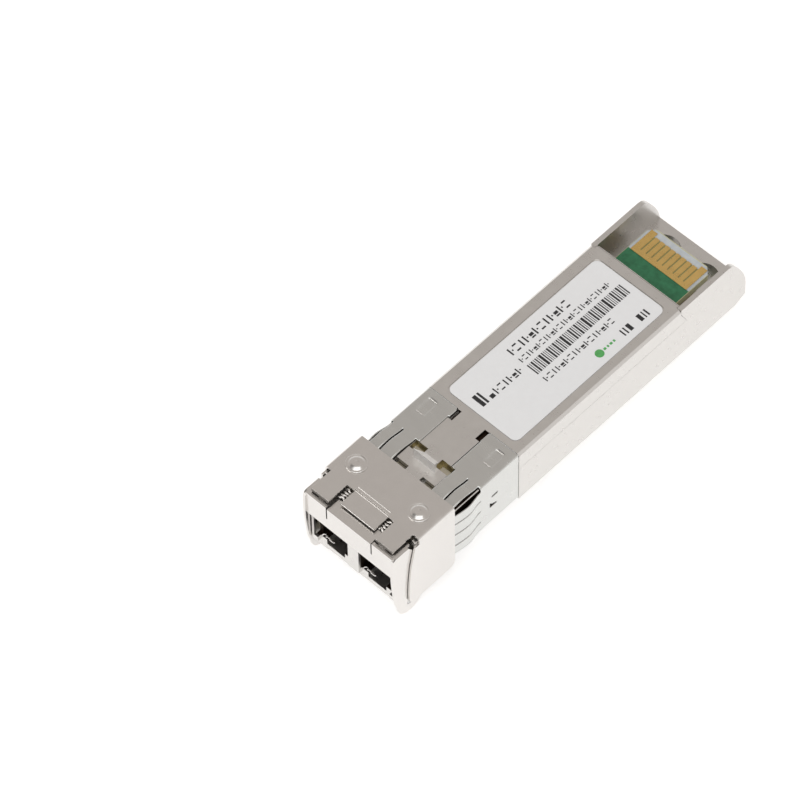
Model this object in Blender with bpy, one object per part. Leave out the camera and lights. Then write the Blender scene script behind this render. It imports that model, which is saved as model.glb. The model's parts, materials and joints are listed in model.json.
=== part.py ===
"""Pluggable optical transceiver module: a die-cast shell, a board, two optical sub-assemblies and a bail latch.

Numbers are millimetres from the module's own datum, which an empty carries: x across the module, y towards
the board edge at the rear, z away from the underside. z = 0 is the underside of the shell. The fibre ports
face -y and the latch side faces +z.
"""

import math

import bmesh
import bpy
from mathutils import Matrix, Vector

MM = 0.001

# Overall frame: the datum sits so that the model's box is centred over the origin and stands on z = 0.
REAR_END = 0.75
FRONT_END = -56.65
LOWEST = -2.91
DATUM = (0.0, -(REAR_END + FRONT_END) / 2, -LOWEST)

# Shell
HALF_WIDTH = 6.775
HEIGHT = 8.5
SEAM_Z = 5.8
LABEL_ZONE = (-36.7, -10.35)
REAR_LIP = ((-10.05, 8.5), (-9.75, 8.2))
REAR_LIP_X = 6.1
JOINT_TOP = 7.8
JOINT_FOOT_Y = -9.3
CORE_HALF_WIDTH = 6.5
CORE_BOTTOM = 0.25
CORE_TOP = 8.22
CORE_FRONT = -47.6
CAVITY_HALF_WIDTH = 5.6
FLOOR_TOP = 1.0
ROOF_UNDERSIDE = 7.6
FRONT_ROOF_UNDERSIDE = 7.0
FIT = 0.03
PLATEAU_HALF_WIDTH = 2.35
WING_TAB_X = (1.75, 2.6)
WING_TAB_Y = (-38.35, -36.75)

# Rear connector bay
BAY_HALF_WIDTH = 6.15
BAY_FLOOR = 3.25
POCKET_X = 2.9
POCKET_Y = -2.3
POCKET_RADIUS = 2.0
POCKET_FLOOR = 1.75

# Label
LABEL_RECESS = (-5.12, 5.42, -35.8, -11.22)
LABEL_RECESS_Z = 8.38
LABEL_MARGIN = 0.1
LABEL_CORNER = 0.8
LABEL_THICKNESS = 0.07

# Shell screws
SCREW_X = 4.7
SCREW_Y = -31.0
SCREW_BOSS_RADIUS = 1.5
SCREW_SHANK_RADIUS = 0.65
SCREW_HOLE_RADIUS = 0.73
SCREW_SINK_RADIUS = 1.35
SCREW_SINK_TOP = 0.95
SCREW_SOCKET_RADIUS = 0.62
SCREW_TIP = 7.1

# Head
HEAD_HALF_WIDTH = 7.05
SHEET = 0.27
HEAD_TOP = 10.0
HEAD_FRONT = -55.9
HEAD_REAR = -47.2
HEAD_BOTTOM = -1.15
RIVET_X = 4.65
RIVET_Y = -50.3
RIVET_HEAD_RADIUS = 1.25
RIVET_SHANK_RADIUS = 0.7
WINDOW_HALF_WIDTH = 3.5
WINDOW_REAR = -52.95
PLATE_FRONT_HALF_WIDTH = 6.1
PLATE_STEP_Y = -52.75
TAB_HALF_WIDTH = 2.5
TAB_FRONT = -55.05
TAB_REAR = -52.3
TAB_Z = (9.43, 9.7)

# Fibre ports: two openings for duplex plugs on the standard pitch
PORT_PITCH = 6.25
PORT_INNER = 0.8
PORT_OUTER = 5.4
PORT_BOTTOM = 0.95
PORT_TOP = 5.5
PORT_BACK = -49.2
PORT_SILL_FRONT = -55.4
PORT_MOUTH_OUTER = 5.95
PORT_MOUTH_BACK = -55.0
LATCH_CHANNEL_HALF_WIDTH = 1.35
LATCH_CHANNEL_BOTTOM = 0.05
LATCH_WINDOW_Y = (-53.6, -52.3)
OPTICAL_AXIS_Z = 3.2
BARREL_FRONT = -51.0
BARREL_RADIUS = 1.5
BARREL_BORE = 0.86
NOSE_HALF_WIDTH = 5.9
NOSE_REAR = -47.75
NOSE_TOP = 8.2
NOSE_BOTTOM = -0.75

# Board
BOARD_HALF_WIDTH = 4.6
BOARD_Z = (5.25, 6.25)
BOARD_Y = (-41.0, -2.5)
CONTACT_PITCH = 0.8
CONTACT_COUNT = 10
CONTACT_HALF = 0.31
CONTACT_OUTER_HALF = 0.58
CONTACT_ROOT = (-6.55, -5.9)
CONTACT_TIPS = (-2.95, -3.45)

# Latch
PIVOT_Y = -53.97
PIVOT_Z = -1.04
LOBE_RADIUS = 1.87
ARM_X = (6.37, 6.72)
PIVOT_PIN_RADIUS = 0.45
PIVOT_HOLE_RADIUS = 0.5
DRIVE_RADIUS = 0.9
DRIVE_PIN_RADIUS = 0.33
DRIVE_REACH = DRIVE_RADIUS * math.sin(math.radians(45))
DRIVE_PIN = (PIVOT_Y + DRIVE_REACH, PIVOT_Z + DRIVE_REACH)
SLIDER_TRAVEL = 2 * DRIVE_REACH
LEG_X = (5.97, 6.3)
SLIDER_PLATE_Z = (9.05, 9.4)
TINE_X = (1.45, 2.65)
TINE_Z = (7.42, 7.85)
TINE_CLEARANCE = 0.1
TINE_TIP = -43.1
POST_Y = (-44.6, -43.4)
POST_HALF_WIDTHS = (1.6, 0.9)
POST_TOP = 10.0
POCKET_LATCH_X = (1.05, 2.87)
POCKET_LATCH_Y = (-44.0, -42.8)
BRIDGE_FRONT = -45.9
SPRING_Z = 8.05
SPRING_RADIUS = 0.52
SPRING_TROUGH = 0.85
SPRING_WIRE_RADIUS = 0.09
SPRING_TURNS = 7
SPRING_Y = (-51.8, -48.15)

ROUND = 32


# ---------------------------------------------------------------- shapes, as bmeshes in millimetres


def block(x, y, z):
    """A box from its low and high value on each axis."""
    shape = bmesh.new()
    bmesh.ops.create_cube(shape, size=1.0)
    size = Vector((x[1] - x[0], y[1] - y[0], z[1] - z[0]))
    centre = Vector(((x[0] + x[1]) / 2, (y[0] + y[1]) / 2, (z[0] + z[1]) / 2))
    place = Matrix.Translation(centre) @ Matrix.Diagonal((*size, 1.0))
    bmesh.ops.transform(shape, matrix=place, verts=shape.verts)
    return shape


def prism(outline, axis, low, high):
    """An outline extruded along axis: (y, z) points along x, (x, z) points along y, (x, y) points along z."""
    place = {
        "x": lambda a, b, t: (t, a, b),
        "y": lambda a, b, t: (a, t, b),
        "z": lambda a, b, t: (a, b, t),
    }[axis]
    shape = bmesh.new()
    bottom = [shape.verts.new(place(a, b, low)) for a, b in outline]
    top = [shape.verts.new(place(a, b, high)) for a, b in outline]
    shape.faces.new(bottom)
    shape.faces.new(top)
    for i in range(len(outline)):
        j = (i + 1) % len(outline)
        shape.faces.new((bottom[i], bottom[j], top[j], top[i]))
    bmesh.ops.recalc_face_normals(shape, faces=shape.faces)
    return shape


def arc(centre, radius, start, end, steps):
    """Points on an arc in a plane, with angles in degrees."""
    points = []
    for i in range(steps + 1):
        angle = math.radians(start + (end - start) * i / steps)
        points.append((centre[0] + radius * math.cos(angle), centre[1] + radius * math.sin(angle)))
    return points


def rod(axis, centre, radius, low, high, segments=ROUND):
    """A cylinder along an axis, through a centre in the other two coordinates."""
    return prism(arc(centre, radius, 0, 360 - 360 / segments, segments - 1), axis, low, high)


def turned(centre, profile, segments=ROUND):
    """A closed profile of (y, radius) points turned about a line along y through centre (x, z)."""
    shape = bmesh.new()
    rings = []
    for y, radius in profile:
        if radius == 0:
            rings.append([shape.verts.new((centre[0], y, centre[1]))])
            continue
        ring = []
        for i in range(segments):
            angle = 2 * math.pi * i / segments
            x, z = centre[0] + radius * math.cos(angle), centre[1] + radius * math.sin(angle)
            ring.append(shape.verts.new((x, y, z)))
        rings.append(ring)
    for first, second in zip(rings, rings[1:] + rings[:1]):
        if len(first) == 1 and len(second) == 1:
            continue
        for i in range(segments):
            j = (i + 1) % segments
            near = [first[i % len(first)], first[j % len(first)]]
            far = [second[j % len(second)], second[i % len(second)]]
            shape.faces.new(list(dict.fromkeys(near + far)))
    bmesh.ops.recalc_face_normals(shape, faces=shape.faces)
    return shape


def rounded_rectangle(x0, x1, y0, y1, radius, steps=6):
    """The outline of a rectangle with round corners, counter-clockwise."""
    outline = []
    left, right, low, high = x0 + radius, x1 - radius, y0 + radius, y1 - radius
    for quarter, centre in enumerate(((right, high), (left, high), (left, low), (right, low))):
        outline += arc(centre, radius, 90 * quarter, 90 * quarter + 90, steps)
    return outline


def mirrored(shape):
    """A copy of the shape on the other side of x = 0."""
    copy = shape.copy()
    bmesh.ops.transform(copy, matrix=Matrix.Diagonal((-1.0, 1.0, 1.0, 1.0)), verts=copy.verts)
    bmesh.ops.reverse_faces(copy, faces=copy.faces)
    return copy


def both_sides(make, x, *rest):
    """A shape made for positive x and its mirror image, as one list."""
    shape = make(x, *rest)
    return [shape, mirrored(shape)]


def rods(axis, x, other, radius, low, high, segments=ROUND):
    """Two rods along y or z, at plus and minus x."""
    return [rod(axis, (side * x, other), radius, low, high, segments) for side in (1, -1)]


def together(shapes):
    """Several shapes that don't touch, in one bmesh."""
    whole = bmesh.new()
    for shape in shapes:
        mesh = bpy.data.meshes.new("scratch")
        shape.to_mesh(mesh)
        whole.from_mesh(mesh)
        bpy.data.meshes.remove(mesh)
        shape.free()
    return whole


# ---------------------------------------------------------------- objects


def clear_scene():
    for old in list(bpy.data.objects):
        bpy.data.objects.remove(old)


def make_datum():
    datum = bpy.data.objects.new("module_datum", None)
    datum.location = Vector(DATUM) * MM
    bpy.context.scene.collection.objects.link(datum)
    return datum


def material(name, colour, metallic, roughness):
    made = bpy.data.materials.new(name)
    made.use_nodes = True
    shader = made.node_tree.nodes["Principled BSDF"]
    shader.inputs["Base Color"].default_value = (*colour, 1.0)
    shader.inputs["Metallic"].default_value = metallic
    shader.inputs["Roughness"].default_value = roughness
    return made


def make_object(name, shape, datum, pivot=(0.0, 0.0, 0.0)):
    """An object whose origin is at pivot, in the datum's millimetres."""
    to_object = Matrix.Scale(MM, 4) @ Matrix.Translation(-Vector(pivot))
    bmesh.ops.transform(shape, matrix=to_object, verts=shape.verts)
    mesh = bpy.data.meshes.new(name)
    shape.to_mesh(mesh)
    shape.free()
    made = bpy.data.objects.new(name, mesh)
    made.location = Vector(pivot) * MM
    made.parent = datum
    bpy.context.scene.collection.objects.link(made)
    return made


def helper(name, shape, datum):
    """A piece that a Boolean adds or removes, which isn't part of the model itself."""
    made = make_object(name, shape, datum)
    made.hide_render = True
    made.display_type = "WIRE"
    return made


def solid(name, look, datum, first, *steps, pivot=(0.0, 0.0, 0.0)):
    """A node: the first shape, then each step (UNION or DIFFERENCE or INTERSECT, shape) in order."""
    node = make_object(name, first, datum, pivot)
    for number, (operation, shape) in enumerate(steps, 1):
        tool = helper(f"{name}_{operation.lower()}_{number}", shape, datum)
        boolean = node.modifiers.new(f"{operation.lower()}_{number}", "BOOLEAN")
        boolean.operation = operation
        boolean.solver = "EXACT"
        boolean.object = tool
    node.data.materials.append(look)
    node.data.shade_smooth()
    node.data.set_sharp_from_angle(angle=math.radians(35))
    return node


def add(*shapes):
    return ("UNION", together(shapes))


def cut(*shapes):
    return ("DIFFERENCE", together(shapes))


# ---------------------------------------------------------------- shell


def side_outline_of_base():
    """The base seen from the side: a trough, then tall rear walls whose end slants to a bottom chamfer."""
    return [
        (LABEL_ZONE[0], 0.0),
        (REAR_END - 1.6, 0.0),
        (REAR_END, 0.75),
        (REAR_END, 2.9),
        (0.62, 3.8),
        (0.33, 4.8),
        (-0.23, 6.1),
        (-1.0, 7.4),
        (-1.45, 8.0),
        (-1.9, 8.35),
        (-2.5, HEIGHT),
        (LABEL_ZONE[1] + FIT, HEIGHT),
        (LABEL_ZONE[1] + FIT, JOINT_TOP),
        (JOINT_FOOT_Y + FIT, SEAM_Z - FIT),
        (LABEL_ZONE[0], SEAM_Z - FIT),
    ]


def base_housing(datum, look):
    core_y = (CORE_FRONT, LABEL_ZONE[0] + 0.3)
    cavity_y = (CORE_FRONT - 1, LABEL_ZONE[1] + 1.4)
    bay_y = (LABEL_ZONE[1] - 0.4, REAR_END + 1)
    screw = (SCREW_X, SCREW_Y)
    solid(
        "base_housing", look, datum,
        prism(side_outline_of_base(), "x", -HALF_WIDTH, HALF_WIDTH),
        add(block((-CORE_HALF_WIDTH, CORE_HALF_WIDTH), core_y, (CORE_BOTTOM, SEAM_Z - FIT))),
        cut(block((-CAVITY_HALF_WIDTH, CAVITY_HALF_WIDTH), cavity_y, (FLOOR_TOP, HEIGHT + 1))),
        cut(block((-BAY_HALF_WIDTH, BAY_HALF_WIDTH), bay_y, (BAY_FLOOR, HEIGHT + 1))),
        cut(*rods("z", POCKET_X, POCKET_Y, POCKET_RADIUS, POCKET_FLOOR, BAY_FLOOR + 1)),
        add(*rods("z", *screw, SCREW_BOSS_RADIUS, FLOOR_TOP - 0.6, SEAM_Z - 0.15)),
        cut(*rods("z", *screw, SCREW_HOLE_RADIUS, SCREW_SINK_TOP - 0.05, SEAM_Z + 1)),
        cut(*rods("z", *screw, SCREW_SINK_RADIUS, -1.0, SCREW_SINK_TOP)),
    )


def cover_section():
    """The cover's cross-section in the label zone, with soft top edges."""
    soft = 0.3
    return [
        (-HALF_WIDTH, SEAM_Z),
        (HALF_WIDTH, SEAM_Z),
        (HALF_WIDTH, HEIGHT - soft),
        (HALF_WIDTH - soft, HEIGHT),
        (-HALF_WIDTH + soft, HEIGHT),
        (-HALF_WIDTH, HEIGHT - soft),
    ]


def latch_post():
    """The post that a cage's tongue locks on: an upright front wall, then a ramp down to the rear."""
    (front, rear), (wide, narrow) = POST_Y, POST_HALF_WIDTHS
    shape = bmesh.new()
    rings = []
    for side in (-1, 1):
        corners = ((wide, front, 8.3), (wide, front, POST_TOP), (narrow, rear, HEIGHT), (narrow, rear, 8.3))
        rings.append([shape.verts.new((side * x, y, z)) for x, y, z in corners])
    for ring in rings:
        shape.faces.new(ring)
    for i in range(4):
        j = (i + 1) % 4
        shape.faces.new((rings[0][i], rings[0][j], rings[1][j], rings[1][i]))
    bmesh.ops.recalc_face_normals(shape, faces=shape.faces)
    return shape


def joint_wedge():
    """The cover's side beside the rear bay, whose joint with the base leans back as it goes down."""
    front, foot = LABEL_ZONE[1], JOINT_FOOT_Y
    outline = [(front - 0.5, SEAM_Z), (foot, SEAM_Z), (front, JOINT_TOP - FIT), (front - 0.5, JOINT_TOP - FIT)]
    return prism(outline, "x", BAY_HALF_WIDTH + FIT, HALF_WIDTH)


def top_cover(datum, look):
    front, rear = LABEL_ZONE
    ahead = CORE_FRONT - 1
    above = HEIGHT + 1
    roof_y = (ahead + 1, front + 0.3)
    cavity_x = (-CAVITY_HALF_WIDTH, CAVITY_HALF_WIDTH)
    board_x = (-BOARD_HALF_WIDTH - 0.4, BOARD_HALF_WIDTH + 0.4)
    wide_x = (-PLATEAU_HALF_WIDTH - 0.5, PLATEAU_HALF_WIDTH + 0.5)
    channel_x = (TINE_X[0] - TINE_CLEARANCE, TINE_X[1] + TINE_CLEARANCE)
    channel_z = (TINE_Z[0] - 0.07, TINE_Z[1] + TINE_CLEARANCE)
    screw = (SCREW_X, SCREW_Y)
    recess = rounded_rectangle(*LABEL_RECESS, LABEL_CORNER)
    solid(
        "top_cover", look, datum,
        prism(cover_section(), "y", *LABEL_ZONE),
        add(block((-CORE_HALF_WIDTH, CORE_HALF_WIDTH), roof_y, (SEAM_Z, CORE_TOP))),
        add(block(wide_x, (CORE_FRONT, FINGER_START - 0.1), (8.0, HEIGHT))),
        add(block((-PLATEAU_HALF_WIDTH, PLATEAU_HALF_WIDTH), (FINGER_START - 0.5, front + 0.3), (8.0, HEIGHT))),
        *[add(block((-REAR_LIP_X, REAR_LIP_X), (rear - 0.4, y), (6.8, z))) for y, z in REAR_LIP],
        cut(*both_sides(block, WING_TAB_X, WING_TAB_Y, (7.9, above))),
        cut(block(cavity_x, (front + 0.6, rear - 0.8), (5.0, ROOF_UNDERSIDE))),
        cut(block(cavity_x, (ahead, front + 1.0), (5.0, FRONT_ROOF_UNDERSIDE))),
        cut(block(board_x, (rear - 2, rear + 1), (5.0, BOARD_Z[1] + 0.5))),
        add(*rods("z", *screw, SCREW_BOSS_RADIUS, SEAM_Z + 0.1, ROOF_UNDERSIDE + 0.3)),
        cut(*rods("z", *screw, SCREW_HOLE_RADIUS, 5.0, SCREW_TIP + 0.3)),
        add(joint_wedge(), mirrored(joint_wedge())),
        cut(*both_sides(block, channel_x, (ahead, POCKET_LATCH_Y[0] + 0.6), channel_z)),
        cut(*both_sides(block, POCKET_LATCH_X, POCKET_LATCH_Y, (channel_z[0], above))),
        cut(*both_sides(block, POCKET_LATCH_X, (ahead, BRIDGE_FRONT), (channel_z[0] - 0.01, above))),
        cut(prism(recess, "z", LABEL_RECESS_Z, above)),
        add(latch_post()),
    )


def label(datum, look):
    x0, x1, y0, y1 = LABEL_RECESS
    inset = LABEL_MARGIN
    outline = rounded_rectangle(x0 + inset, x1 - inset, y0 + inset, y1 - inset, LABEL_CORNER - inset)
    bottom = LABEL_RECESS_Z + FIT
    solid("label", look, datum, prism(outline, "z", bottom, bottom + LABEL_THICKNESS))


def shell_screw(datum, look, name, side):
    """A socket screw that passes up through the base into the cover."""
    place = (side * SCREW_X, SCREW_Y)
    solid(
        name, look, datum,
        rod("z", place, SCREW_SINK_RADIUS - 0.1, 0.1, SCREW_SINK_TOP - 0.1, 24),
        add(rod("z", place, SCREW_SHANK_RADIUS, 0.6, SCREW_TIP, 16)),
        cut(rod("z", place, SCREW_SOCKET_RADIUS, -0.5, 0.5, 6)),
    )


# ---------------------------------------------------------------- spring collar


def collar_path():
    """The collar's outer section as (x, z) points, from the left wing's edge round below to the right."""
    half, soft, low = HALF_WIDTH - 0.02, 0.45, 0.03
    right = [
        (4.75, HEIGHT),
        (4.95, HEIGHT),
        (half - soft, HEIGHT),
        *arc((half - soft, HEIGHT - soft), soft, 60, 30, 1),
        (half, 7.75),
        (half, 6.2),
        (half, 6.03),
        (half, 4.17),
        (half, 4.0),
        (half, 2.1),
        (half, 1.93),
        (half, low + soft),
        *arc((half - soft, low + soft), soft, -30, -60, 1),
        (half - soft, low),
        (2.4, low),
        (2.2, low),
    ]
    wing = [(COLLAR_WING_INNER, HEIGHT), (COLLAR_FINGER_INNER, HEIGHT), *right]
    return [(-x, z) for x, z in wing] + wing[::-1]


COLLAR_BACK = -36.85
COLLAR_WING_INNER = 2.5
COLLAR_FINGER_INNER = 2.98
FINGER_START = -42.8
FINGER_TIP = -47.5
FINGER_APEX = -45.0
FINGER_BULGE = 0.3
COLLAR_SHEET = 0.16


def finger_bulge(y):
    """How far a finger stands proud of the shell: most at its apex, and tucked in at its tip."""
    if y >= FINGER_APEX:
        way = (FINGER_START - y) / (FINGER_START - FINGER_APEX)
        return FINGER_BULGE * math.sin(way * math.pi / 2) ** 2
    way = (FINGER_APEX - y) / (FINGER_APEX - FINGER_TIP)
    return FINGER_BULGE - (FINGER_BULGE + 0.06) * way ** 1.6


def section_normals(path):
    """The outward direction at each point of the collar's section."""
    normals = []
    for i in range(len(path)):
        before, after = path[max(i - 1, 0)], path[min(i + 1, len(path) - 1)]
        along = Vector((after[0] - before[0], after[1] - before[1])).normalized()
        normals.append(Vector((along.y, -along.x)))
    return normals


def emi_collar(datum, look):
    path = collar_path()
    normals = section_normals(path)
    centre = Vector((0.0, HEIGHT / 2))
    for point, normal in zip(path, normals):
        if normal.dot(Vector(point) - centre) < 0:
            normal.negate()
    shape = bmesh.new()
    band_y = (COLLAR_BACK, -38.4, -41.0, FINGER_START)
    finger_y = (-43.6, -44.3, FINGER_APEX, -45.7, -46.6, FINGER_TIP)
    rows = [[shape.verts.new((x, y, z)) for x, z in path] for y in band_y]
    for first, second in zip(rows, rows[1:]):
        for i in range(len(path) - 1):
            shape.faces.new((first[i], first[i + 1], second[i + 1], second[i]))
    for i, j in finger_spans(path):
        previous = rows[-1][i:j + 1]
        for y in finger_y:
            row = []
            for k in range(i, j + 1):
                place = Vector(path[k]) + normals_of_span(path, i, j, centre) * finger_bulge(y)
                row.append(shape.verts.new((place.x, y, place.y)))
            for k in range(j - i):
                shape.faces.new((previous[k], previous[k + 1], row[k + 1], row[k]))
            previous = row
    bmesh.ops.recalc_face_normals(shape, faces=shape.faces)
    if sum(face.normal.x * face.calc_center_median().x for face in shape.faces) < 0:
        bmesh.ops.reverse_faces(shape, faces=shape.faces)
    collar = solid("emi_collar", look, datum, shape)
    shell = collar.modifiers.new("sheet", "SOLIDIFY")
    shell.thickness = COLLAR_SHEET * MM
    shell.offset = -1.0
    shell.use_even_offset = True


def finger_spans(path):
    """Pairs of path indices: each is one flat spring finger between two slits."""
    spans = []
    for i in range(len(path) - 1):
        (x0, z0), (x1, z1) = path[i], path[i + 1]
        length = math.hypot(x1 - x0, z1 - z0)
        flat = abs(x1 - x0) < 1e-6 or abs(z1 - z0) < 1e-6
        if flat and length > 1.0:
            spans.append((i, i + 1))
    return spans


def normals_of_span(path, i, j, centre):
    """The outward direction of one straight stretch of the section."""
    along = Vector((path[j][0] - path[i][0], path[j][1] - path[i][1])).normalized()
    outward = Vector((along.y, -along.x))
    middle = (Vector(path[i]) + Vector(path[j])) / 2
    if outward.dot(middle - centre) < 0:
        outward.negate()
    return outward


# ---------------------------------------------------------------- head


def side_outline_of_head():
    """The head cover from the side: its front edge leans back as it rises, and both lower corners are round."""
    return [
        (HEAD_REAR, HEAD_TOP + 1),
        (HEAD_REAR, 1.0),
        *arc((HEAD_REAR - 0.9, HEAD_BOTTOM + 0.9), 0.9, 0, -90, 5),
        (-52.9, HEAD_BOTTOM),
        *arc((-53.68, -0.3), 0.7, -75, -180, 5),
        (-54.4, 0.9),
        (-54.3, 3.1),
        (-54.02, 5.8),
        (-53.45, 8.6),
        (-53.3, 9.3),
        (HEAD_FRONT, 9.3),
        (HEAD_FRONT, HEAD_TOP + 1),
    ]


def head_section(half, top, radius):
    """A box section open below, with round upper corners."""
    return [
        (-half, -3.0),
        (half, -3.0),
        *arc((half - radius, top - radius), radius, 0, 90, 4),
        *arc((-half + radius, top - radius), radius, 90, 180, 4),
    ]


def head_cover(datum, look):
    inner = head_section(HEAD_HALF_WIDTH - SHEET, HEAD_TOP - SHEET, 0.25)
    inner = [(x, z - 1 if z < 0 else z) for x, z in inner]
    top = (9.0, 11.0)
    ahead = HEAD_FRONT - 1
    lip_x = (WINDOW_HALF_WIDTH + 0.05, PLATE_FRONT_HALF_WIDTH - 0.05)
    tab_x = (-TAB_HALF_WIDTH, TAB_HALF_WIDTH)
    rivet = ("z", RIVET_X, RIVET_Y, RIVET_SHANK_RADIUS + 0.06)
    solid(
        "head_cover", look, datum,
        prism(head_section(HEAD_HALF_WIDTH, HEAD_TOP, 0.5), "y", HEAD_FRONT - 1, HEAD_REAR + 1),
        cut(prism(inner, "y", HEAD_FRONT - 2, HEAD_REAR + 2)),
        ("INTERSECT", prism(side_outline_of_head(), "x", -9.0, 9.0)),
        cut(*both_sides(block, (PLATE_FRONT_HALF_WIDTH, 8.0), (ahead, PLATE_STEP_Y), top)),
        add(*both_sides(block, lip_x, (HEAD_FRONT, HEAD_FRONT + SHEET), (9.5, 9.9))),
        cut(block((-WINDOW_HALF_WIDTH, WINDOW_HALF_WIDTH), (ahead, WINDOW_REAR), top)),
        cut(block(tab_x, (WINDOW_REAR - 0.1, TAB_REAR), top)),
        add(block(tab_x, (TAB_REAR - 0.4, TAB_REAR + 0.2), (TAB_Z[0], HEAD_TOP - 0.03))),
        add(block(tab_x, (TAB_FRONT, TAB_REAR - 0.3), TAB_Z)),
        cut(*rods(*rivet, *top, 24)),
    )


def cover_rivet(datum, look, name, side):
    """A domed rivet, turned about an upright axis."""
    rise, base = 0.36, HEAD_TOP + FIT
    profile = [(7.3, 0.0), (7.3, RIVET_SHANK_RADIUS), (base, RIVET_SHANK_RADIUS), (base, RIVET_HEAD_RADIUS)]
    for step in range(1, 5):
        angle = math.radians(90 * step / 5)
        profile.append((base + rise * math.sin(angle), RIVET_HEAD_RADIUS * math.cos(angle)))
    profile.append((base + rise, 0.0))
    shape = turned((0.0, 0.0), profile, 24)
    upright = Matrix.Translation((side * RIVET_X, RIVET_Y, 0.0)) @ Matrix.Rotation(math.radians(90), 4, "X")
    bmesh.ops.transform(shape, matrix=upright, verts=shape.verts)
    solid(name, look, datum, shape)


def pivot_lug():
    """The lug that holds one pivot pin, below the port's outer wall."""
    radius = 1.25
    under = arc((PIVOT_Y, PIVOT_Z), radius, 180, 360, 10)
    return prism([(PIVOT_Y - radius, 0.4), *under, (PIVOT_Y + radius, 0.4)], "x", 4.7, NOSE_HALF_WIDTH)


def lc_receptacle(datum, look):
    """The die-cast nose: two ports, a trough for the return spring and lugs for the bail's pins."""
    lug = pivot_lug()
    port_centre = PORT_PITCH / 2
    ahead = HEAD_FRONT - 1.1
    below = NOSE_BOTTOM - 2
    channel_x = (port_centre - LATCH_CHANNEL_HALF_WIDTH, port_centre + LATCH_CHANNEL_HALF_WIDTH)
    window_x = (port_centre - 1.5, port_centre + 1.5)
    tine_x = (TINE_X[0] - 0.15, TINE_X[1] + 0.15)
    trough_z = (SPRING_Z - SPRING_TROUGH, HEIGHT + 0.5)
    pin_hole = rod("x", (PIVOT_Y, PIVOT_Z), PIVOT_HOLE_RADIUS, 4.9, 7.0, 24)
    sill = (NOSE_BOTTOM - 2, 0.2)
    solid(
        "lc_receptacle", look, datum,
        block((-NOSE_HALF_WIDTH, NOSE_HALF_WIDTH), (HEAD_FRONT, NOSE_REAR), (NOSE_BOTTOM, NOSE_TOP)),
        add(block((-6.25, 6.25), (HEAD_FRONT, HEAD_FRONT + 0.3), (sill[1], NOSE_TOP - 0.1))),
        add(block((-CORE_HALF_WIDTH, CORE_HALF_WIDTH), (NOSE_REAR - 0.65, NOSE_REAR), (0.3, NOSE_TOP - 0.2))),
        add(lug, mirrored(lug)),
        cut(*both_sides(block, (PORT_INNER, PORT_OUTER), (ahead, PORT_BACK), (PORT_BOTTOM, PORT_TOP))),
        cut(*both_sides(block, (3.0, PORT_MOUTH_OUTER), (ahead, PORT_MOUTH_BACK), (PORT_BOTTOM, PORT_TOP))),
        cut(block((-PORT_OUTER, PORT_OUTER), (ahead, PORT_SILL_FRONT), (below, PORT_BOTTOM + 0.01))),
        cut(block((-7.0, 7.0), (ahead, PORT_SILL_FRONT), sill)),
        add(block((-PORT_INNER, PORT_INNER), (HEAD_FRONT, PORT_SILL_FRONT + 0.4), (sill[1], 1.5))),
        cut(*both_sides(block, channel_x, (ahead, PORT_BACK), (LATCH_CHANNEL_BOTTOM, PORT_BOTTOM + 0.1))),
        cut(*both_sides(block, window_x, LATCH_WINDOW_Y, (below, PORT_BOTTOM + 0.05))),
        cut(*rods("y", port_centre, OPTICAL_AXIS_Z, BARREL_RADIUS + 0.08, PORT_BACK - 0.8, NOSE_REAR + 0.75)),
        cut(block((-0.78, 0.78), (SPRING_Y[0] - 0.2, NOSE_REAR + 0.75), trough_z)),
        cut(*both_sides(block, tine_x, (-49.5, NOSE_REAR + 0.75), trough_z)),
        add(*rods("z", RIVET_X, RIVET_Y, RIVET_HEAD_RADIUS + 0.1, NOSE_TOP - 0.3, SLIDER_PLATE_Z[0] - 0.1, 24)),
        cut(*rods("z", RIVET_X, RIVET_Y, RIVET_SHANK_RADIUS + 0.06, 7.0, 9.5, 24)),
        cut(pin_hole, mirrored(pin_hole)),
    )


# ---------------------------------------------------------------- optics


def optical_barrel(datum, look, name, side):
    """A turned barrel: the sleeve end stands in the port, and its flange bears on the receptacle's rear."""
    centre = (side * PORT_PITCH / 2, OPTICAL_AXIS_Z)
    flange = (NOSE_REAR + 0.08, NOSE_REAR + 0.8)
    seat, back = -46.6, -45.45
    outside = [
        (BARREL_FRONT, BARREL_RADIUS - 0.1), (BARREL_FRONT + 0.1, BARREL_RADIUS), (flange[0], BARREL_RADIUS),
        (flange[0], 2.1), (flange[1], 2.1), (flange[1], 1.7), (back, 1.7),
    ]
    inside = [(back, 0.3), (seat, 0.3), (seat, BARREL_BORE), (BARREL_FRONT, BARREL_BORE)]
    solid(name, look, datum, turned(centre, outside + inside))


def alignment_sleeve(datum, look, name, side):
    """A ceramic tube inside the barrel, split along one side, that centres the fibre's ferrule."""
    x = side * PORT_PITCH / 2
    front, back = BARREL_FRONT + 0.3, -46.75
    outer, bore = BARREL_BORE - 0.05, 0.64
    solid(
        name, look, datum,
        turned((x, OPTICAL_AXIS_Z), [(front, bore), (front, outer), (back, outer), (back, bore)], 24),
        cut(block((x - 0.09, x + 0.09), (front - 1, back + 1), (OPTICAL_AXIS_Z, OPTICAL_AXIS_Z + 2))),
    )


def optical_header(datum, look, name, side):
    """The metal can and header disc that hold the laser or the detector."""
    centre = (side * PORT_PITCH / 2, OPTICAL_AXIS_Z)
    profile = [(-45.4, 0.0), (-45.4, 1.45), (-44.9, 1.45), (-44.9, 2.05), (-44.4, 2.05), (-44.4, 0.0)]
    solid(name, look, datum, turned(centre, profile))


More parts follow.
